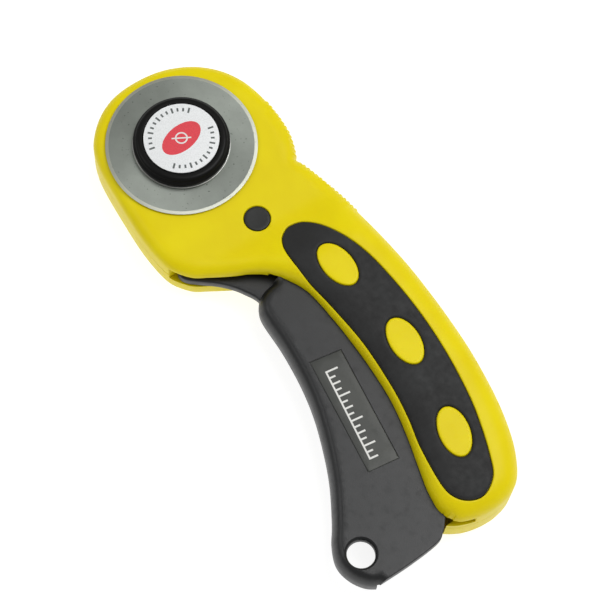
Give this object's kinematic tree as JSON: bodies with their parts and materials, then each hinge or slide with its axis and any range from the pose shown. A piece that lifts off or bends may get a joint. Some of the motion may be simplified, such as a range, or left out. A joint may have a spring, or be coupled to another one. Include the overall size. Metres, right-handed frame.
{
  "type": "rotary cutter",
  "caption": "Squeeze-trigger rotary cutter with a round blade clamped under a disc knob, a two-shell handle with rubber grips and a hinged trigger lever.",
  "frame": {"origin": "blade axis at the flat outer face of the rear nut, which is also the plane that the rear grip rests on", "axes": "+X along the handle from the blade to the tail, +Y towards the finger-rest back, +Z out through the blade clamp knob"},
  "size_m": [0.1676, 0.0683, 0.0253],
  "materials": {
    "shell_plastic": "satin moulded yellow",
    "grip_rubber": "matte black",
    "lever_plastic": "fine-textured black",
    "button_plastic": "satin black",
    "knob_plastic": "semi-gloss black",
    "blade_steel": "fine ground",
    "fastener_steel": "plated",
    "label_film": "white printed film"
  },
  "bodies": {
    "handle": {"front_shell": "shell_plastic", "rear_shell": "shell_plastic", "front_grip": "grip_rubber", "rear_grip": "grip_rubber", "pivot_pin": "fastener_steel", "return_spring": "fastener_steel", "shell_screw_1": "fastener_steel", "shell_screw_2": "fastener_steel", "shell_screw_3": "fastener_steel", "shell_screw_4": "fastener_steel"},
    "lever": {"trigger_lever": "lever_plastic", "blade_bolt": "fastener_steel", "blade_washer": "fastener_steel", "clamp_knob": "knob_plastic", "knob_label": "label_film", "wave_washer": "fastener_steel"},
    "blade_disc": {"blade": "blade_steel"},
    "nut": {"rear_nut": "knob_plastic", "nut_insert": "fastener_steel"},
    "lock": {"lock_button": "button_plastic"}
  },
  "joints": [
    {"name": "lever_squeeze", "type": "hinge", "parent": "handle", "child": "lever", "pos_m": [0.035, -0.0045, 0.0122], "axis": [0, 0, 1], "range_deg": [0, 8], "stiffness_Nm_per_rad": 2, "springref_deg": -5.73, "deforming": ["return_spring"]},
    {"name": "blade_spin", "type": "hinge", "parent": "lever", "child": "blade_disc", "pos_m": [0, 0, 0.02085], "axis": [0, 0, 1], "continuous": true},
    {"name": "nut_turn", "type": "hinge", "parent": "lever", "child": "nut", "pos_m": [0, 0, 0.0015], "axis": [0, 0, 1], "continuous": true},
    {"name": "lock_slide", "type": "slide", "parent": "handle", "child": "lock", "axis": [0, 0, -1], "range_m": [0, 0.0032]}
  ]
}
